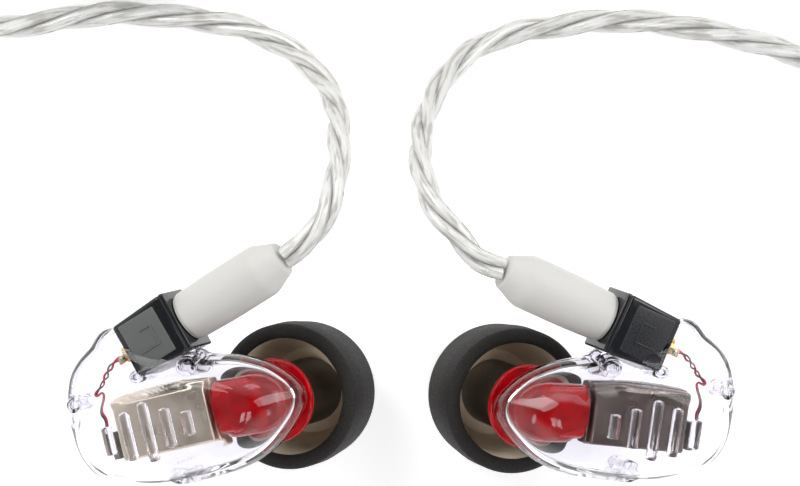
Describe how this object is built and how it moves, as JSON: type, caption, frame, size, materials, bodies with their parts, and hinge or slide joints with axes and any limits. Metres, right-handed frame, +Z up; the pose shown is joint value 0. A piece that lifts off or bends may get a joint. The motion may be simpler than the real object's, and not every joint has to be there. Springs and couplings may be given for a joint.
{
  "type": "in ear monitors",
  "caption": "Pair of clear-shelled in-ear monitors on click-fit cable plugs, with soft ear tips, twisted cable, slider, splitter and jack plug.",
  "frame": {"origin": "on the table, under the middle of the box round the two earpieces", "axes": "+X to the right along the pair, +Y from the earpieces towards the cable, +Z up from the table, out of the faceplates"},
  "size_m": [0.0892, 0.0845, 0.0209],
  "materials": {
    "clear_shell": "clear polished acrylic",
    "red_acrylic": "translucent red, glossy",
    "driver_can": "satin nickel plate",
    "steel": "satin",
    "gold_plate": "gold plate",
    "terminal_board": "matte",
    "black_plastic": "glossy",
    "black_rubber": "matte",
    "silicone": "matte dark grey",
    "grey_rubber": "matte pale grey",
    "white_plastic": "satin",
    "red_wire": "enamel",
    "black_wire": "enamel",
    "cable_jacket": "clear jacket over silver strands",
    "woven_band": "woven"
  },
  "bodies": {
    "cable": {"left_leg_lead": "cable_jacket", "right_leg_lead": "cable_jacket", "leg_coil": "cable_jacket", "leg_tie": "woven_band", "left_leg_tail": "cable_jacket", "right_leg_tail": "cable_jacket", "y_split": "grey_rubber", "trunk_lead": "cable_jacket", "trunk_coil": "cable_jacket", "trunk_tie": "woven_band", "trunk_tail": "cable_jacket", "plug_relief": "grey_rubber", "plug_housing": "white_plastic", "plug_sleeve": "gold_plate", "plug_ring": "gold_plate", "plug_tip": "gold_plate", "plug_insulation": "black_plastic", "left_boot": "grey_rubber", "left_plug_barrel": "gold_plate", "left_plug_insulator": "white_plastic", "left_plug_pin": "gold_plate", "right_boot": "grey_rubber", "right_plug_barrel": "gold_plate", "right_plug_insulator": "white_plastic", "right_plug_pin": "gold_plate"},
    "left_snap_ring": {"left_snap_ring": "steel"},
    "left_ear_tip": {"left_ear_tip_skirt": "silicone", "left_ear_tip_core": "black_rubber"},
    "left_earpiece": {"left_outer_shell": "clear_shell", "left_inner_shell": "clear_shell", "left_nozzle": "red_acrylic", "left_nozzle_coupler": "red_acrylic", "left_damper": "terminal_board", "left_wax_guard": "steel", "left_bass_driver": "driver_can", "left_treble_driver": "steel", "left_crossover_board": "terminal_board", "left_socket_housing": "black_plastic", "left_socket_barrel": "gold_plate", "left_socket_contact": "gold_plate", "left_red_wire": "red_wire", "left_black_wire": "black_wire"},
    "right_snap_ring": {"right_snap_ring": "steel"},
    "right_ear_tip": {"right_ear_tip_skirt": "silicone", "right_ear_tip_core": "black_rubber"},
    "right_earpiece": {"right_outer_shell": "clear_shell", "right_inner_shell": "clear_shell", "right_nozzle": "red_acrylic", "right_nozzle_coupler": "red_acrylic", "right_damper": "terminal_board", "right_wax_guard": "steel", "right_bass_driver": "driver_can", "right_treble_driver": "steel", "right_crossover_board": "terminal_board", "right_socket_housing": "black_plastic", "right_socket_barrel": "gold_plate", "right_socket_contact": "gold_plate", "right_red_wire": "red_wire", "right_black_wire": "black_wire"},
    "chin_slider": {"chin_slider": "grey_rubber"}
  },
  "joints": [
    {"name": "left_swivel", "type": "hinge", "parent": "cable", "child": "left_snap_ring", "pos_m": [-0.01833, 0.00644, 0.01453], "axis": [0.8021, 0.5001, 0.3264], "continuous": true},
    {"name": "left_unplug", "type": "slide", "parent": "left_snap_ring", "child": "left_earpiece", "axis": [-0.8021, -0.5001, -0.3264], "range_m": [0, 0.0045]},
    {"name": "left_tip_pull", "type": "slide", "parent": "left_earpiece", "child": "left_ear_tip", "axis": [0.3326, 0.0798, -0.9397], "range_m": [0, 0.006]},
    {"name": "right_swivel", "type": "hinge", "parent": "cable", "child": "right_snap_ring", "pos_m": [0.01754, 0.00637, 0.01526], "axis": [-0.8542, 0.3925, 0.341], "continuous": true},
    {"name": "right_unplug", "type": "slide", "parent": "right_snap_ring", "child": "right_earpiece", "axis": [0.8542, -0.3925, -0.341], "range_m": [0, 0.0045]},
    {"name": "right_tip_pull", "type": "slide", "parent": "right_earpiece", "child": "right_ear_tip", "axis": [-0.3214, 0.117, -0.9397], "range_m": [0, 0.006]},
    {"name": "slider_travel", "type": "slide", "parent": "cable", "child": "chin_slider", "axis": [1, 0, 0], "range_m": [0, 0.0035]}
  ]
}
